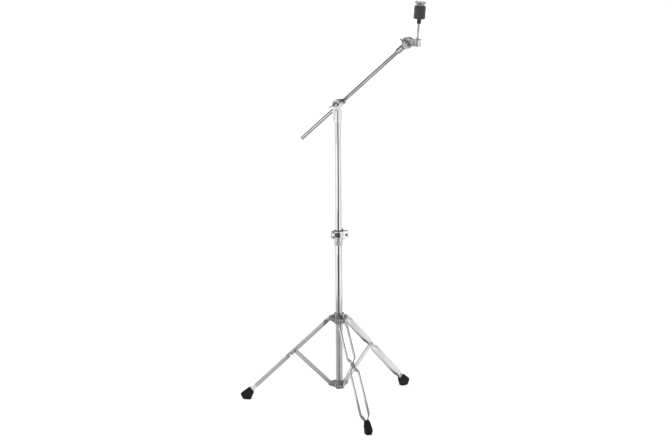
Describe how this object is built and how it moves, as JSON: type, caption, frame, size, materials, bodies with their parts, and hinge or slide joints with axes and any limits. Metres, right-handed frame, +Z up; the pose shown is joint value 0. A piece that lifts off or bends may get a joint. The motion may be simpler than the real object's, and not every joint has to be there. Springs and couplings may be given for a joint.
{
  "type": "cymbal boom stand",
  "caption": "Folding tripod cymbal stand with a telescoping mast, a sliding and tilting boom arm, and a tilter rod that clamps a cymbal between thick felts.",
  "frame": {"origin": "on the floor under the base tube's axis, at the middle of the tripod", "axes": "+Z up along the tubes; -Y towards the side from which the boom clamp's wing nut is seen; +X towards the boom's raised end"},
  "size_m": [0.5999, 0.5721, 1.3142],
  "materials": {
    "tube_chrome": "bright chrome plate on drawn steel tube",
    "strip_chrome": "chrome plate on bent flat steel strip",
    "cast_chrome": "chrome plate on die-cast zinc",
    "nut_chrome": "chrome plate on cast wing nuts",
    "fastener_steel": "zinc-plated steel",
    "black_screw": "black oxide steel",
    "foot_rubber": "moulded black rubber",
    "black_nylon": "moulded black nylon",
    "grey_felt": "pressed wool felt"
  },
  "bodies": {
    "base": {"base_tube": "tube_chrome", "base_tube_plug": "black_nylon", "brace_collar": "cast_chrome", "brace_collar_rivets": "fastener_steel", "clamp_socket": "cast_chrome", "clamp_jaw": "cast_chrome", "clamp_inlay": "black_nylon", "clamp_hinge_pin": "fastener_steel", "clamp_bolt": "fastener_steel", "clamp_washer": "fastener_steel"},
    "clamp_nut": {"clamp_wing_nut": "nut_chrome"},
    "leg_hub": {"leg_collar": "cast_chrome"},
    "leg_lock": {"leg_lock_screw": "nut_chrome"},
    "front_leg": {"front_leg_strip_a": "strip_chrome", "front_leg_strip_b": "strip_chrome", "front_leg_rivets": "fastener_steel", "front_foot": "foot_rubber"},
    "front_brace": {"front_brace": "strip_chrome"},
    "right_leg": {"right_leg_strip_a": "strip_chrome", "right_leg_strip_b": "strip_chrome", "right_leg_rivets": "fastener_steel", "right_foot": "foot_rubber"},
    "right_brace": {"right_brace": "strip_chrome"},
    "left_leg": {"left_leg_strip_a": "strip_chrome", "left_leg_strip_b": "strip_chrome", "left_leg_rivets": "fastener_steel", "left_foot": "foot_rubber"},
    "left_brace": {"left_brace": "strip_chrome"},
    "bushing": {"tube_bushing": "black_nylon"},
    "mast": {"upper_tube": "tube_chrome", "boom_yoke": "cast_chrome"},
    "boom_clamp": {"boom_holder": "cast_chrome", "boom_bolt": "fastener_steel", "boom_washer": "fastener_steel"},
    "boom_nut": {"boom_wing_nut": "nut_chrome"},
    "liner": {"holder_liner": "black_nylon"},
    "boom": {"boom_tube": "tube_chrome", "boom_tail_plug": "black_nylon", "tilter_socket": "cast_chrome", "socket_screw": "black_screw", "tilter_bolt": "fastener_steel", "tilter_washer": "fastener_steel"},
    "tilter_nut": {"tilter_wing_nut": "nut_chrome"},
    "tilter": {"tilter_head": "cast_chrome", "cymbal_rod": "tube_chrome", "rod_screw": "black_screw", "cymbal_sleeve": "black_nylon", "lower_felt": "grey_felt"},
    "top_felt": {"upper_felt": "grey_felt"},
    "cymbal_nut": {"cymbal_wing_nut": "nut_chrome"}
  },
  "joints": [
    {"name": "fold", "type": "slide", "parent": "base", "child": "leg_hub", "axis": [0, 0, 1], "range_m": [0, 0.10062]},
    {"name": "leg_lock_turn", "type": "hinge", "parent": "leg_hub", "child": "leg_lock", "pos_m": [-0.00827, 0.02884, 0.292], "axis": [-0.2756, 0.9613, 0], "continuous": true},
    {"name": "clamp_nut_turn", "type": "hinge", "parent": "base", "child": "clamp_nut", "pos_m": [0.01615, 0.02585, 0.567], "axis": [-0.2924, 0.9563, 0], "continuous": true},
    {"name": "front_leg_hinge", "type": "hinge", "parent": "leg_hub", "child": "front_leg", "pos_m": [0.00827, -0.02884, 0.292], "axis": [0.9613, 0.2756, 0], "range_deg": [0, 36.15]},
    {"name": "front_brace_hinge", "type": "hinge", "parent": "base", "child": "front_brace", "pos_m": [0.00827, -0.02884, 0.0725], "axis": [-0.9613, -0.2756, 0], "range_deg": [0, 38.63]},
    {"name": "right_leg_hinge", "type": "hinge", "parent": "leg_hub", "child": "right_leg", "pos_m": [0.02084, 0.02158, 0.292], "axis": [-0.7193, 0.6947, 0], "range_deg": [0, 36.15]},
    {"name": "right_brace_hinge", "type": "hinge", "parent": "base", "child": "right_brace", "pos_m": [0.02084, 0.02158, 0.0725], "axis": [0.7193, -0.6947, 0], "range_deg": [0, 38.63]},
    {"name": "left_leg_hinge", "type": "hinge", "parent": "leg_hub", "child": "left_leg", "pos_m": [-0.02911, 0.00726, 0.292], "axis": [-0.2419, -0.9703, 0], "range_deg": [0, 36.15]},
    {"name": "left_brace_hinge", "type": "hinge", "parent": "base", "child": "left_brace", "pos_m": [-0.02911, 0.00726, 0.0725], "axis": [0.2419, 0.9703, 0], "range_deg": [0, 38.63]},
    {"name": "mast_turn", "type": "hinge", "parent": "base", "child": "bushing", "pos_m": [0, 0, 0.55], "axis": [0, 0, 1], "continuous": true},
    {"name": "mast_height", "type": "slide", "parent": "bushing", "child": "mast", "axis": [0, 0, 1], "range_m": [-0.33, 0.06]},
    {"name": "boom_tilt", "type": "hinge", "parent": "mast", "child": "boom_clamp", "pos_m": [0, 0, 0.9876], "axis": [-0.4384, -0.8988, 0], "range_deg": [-60, 45]},
    {"name": "boom_nut_turn", "type": "hinge", "parent": "boom_clamp", "child": "boom_nut", "pos_m": [-0.00877, -0.01798, 0.9876], "axis": [-0.4384, -0.8988, 0], "continuous": true},
    {"name": "boom_roll", "type": "hinge", "parent": "boom_clamp", "child": "liner", "pos_m": [0.01118, 0.02292, 0.9876], "axis": [0.6824, -0.3328, 0.6508], "continuous": true},
    {"name": "boom_slide", "type": "slide", "parent": "liner", "child": "boom", "axis": [0.6824, -0.3328, 0.6508], "range_m": [-0.12, 0.12]},
    {"name": "tilter_tilt", "type": "hinge", "parent": "boom", "child": "tilter", "pos_m": [0.21727, -0.0776, 1.18413], "axis": [-0.4384, -0.8988, 0], "range_deg": [-75, 75]},
    {"name": "tilter_nut_turn", "type": "hinge", "parent": "boom", "child": "tilter_nut", "pos_m": [0.2107, -0.09108, 1.18413], "axis": [-0.4384, -0.8988, 0], "continuous": true},
    {"name": "felt_lift", "type": "slide", "parent": "tilter", "child": "top_felt", "axis": [0.0721, -0.0352, 0.9968], "range_m": [0, 0.012]},
    {"name": "cymbal_nut_turn", "type": "hinge", "parent": "top_felt", "child": "cymbal_nut", "pos_m": [0.25443, -0.09572, 1.30521], "axis": [0.0721, -0.0352, 0.9968], "continuous": true}
  ],
  "couplings": [
    {"joint": "front_leg_hinge", "follows": "fold", "rad_per_m": 6.2617},
    {"joint": "front_brace_hinge", "follows": "fold", "rad_per_m": 6.6911},
    {"joint": "right_leg_hinge", "follows": "fold", "rad_per_m": 6.2617},
    {"joint": "right_brace_hinge", "follows": "fold", "rad_per_m": 6.6911},
    {"joint": "left_leg_hinge", "follows": "fold", "rad_per_m": 6.2617},
    {"joint": "left_brace_hinge", "follows": "fold", "rad_per_m": 6.6911}
  ]
}
